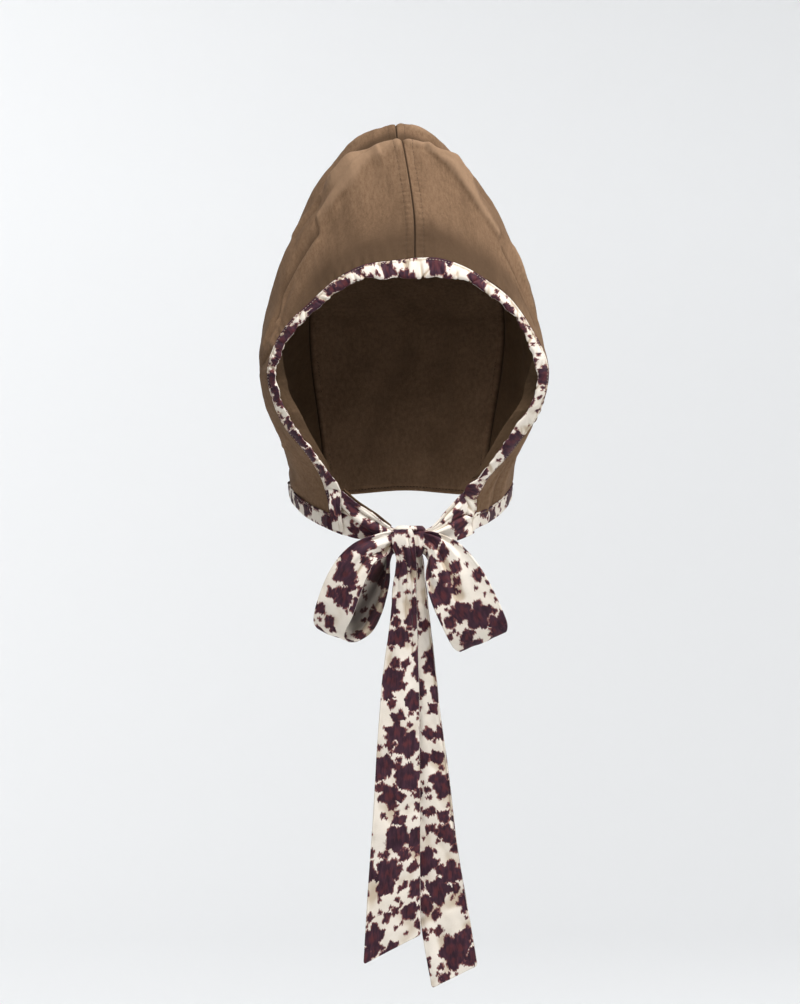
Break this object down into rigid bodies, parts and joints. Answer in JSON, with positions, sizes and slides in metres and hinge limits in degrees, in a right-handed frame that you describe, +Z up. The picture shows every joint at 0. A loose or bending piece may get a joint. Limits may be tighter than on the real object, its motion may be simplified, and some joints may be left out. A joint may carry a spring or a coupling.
{
  "type": "hood",
  "caption": "Soft cotton bonnet hood with a peaked crown, arched back panel, printed face casing and neck band, and wide ties knotted in a bow.",
  "frame": {"origin": "the point inside the crown, in the dip between its two bumps, where the top of the wearer's head touches it", "axes": "+Z up, the face opening towards -Y, +X to the right as seen from the front"},
  "size_m": [0.2428, 0.2261, 0.7282],
  "materials": {
    "crown_cloth": "matt brushed cotton twill, taupe brown",
    "facing_cloth": "matt cotton, taupe brown",
    "printed_cloth": "smooth cotton, cream with a plum blotch print"
  },
  "bodies": {
    "root": {"crown_left": "crown_cloth", "crown_right": "crown_cloth", "back_panel": "crown_cloth", "facing_left": "facing_cloth", "facing_right": "facing_cloth", "front_casing": "printed_cloth", "neck_band": "printed_cloth", "tie_left": "printed_cloth", "tie_right": "printed_cloth", "bow_knot": "printed_cloth", "bow_loop_left": "printed_cloth", "bow_loop_right": "printed_cloth", "tie_tail_left": "printed_cloth", "tie_tail_right": "printed_cloth"}
  },
  "joints": []
}
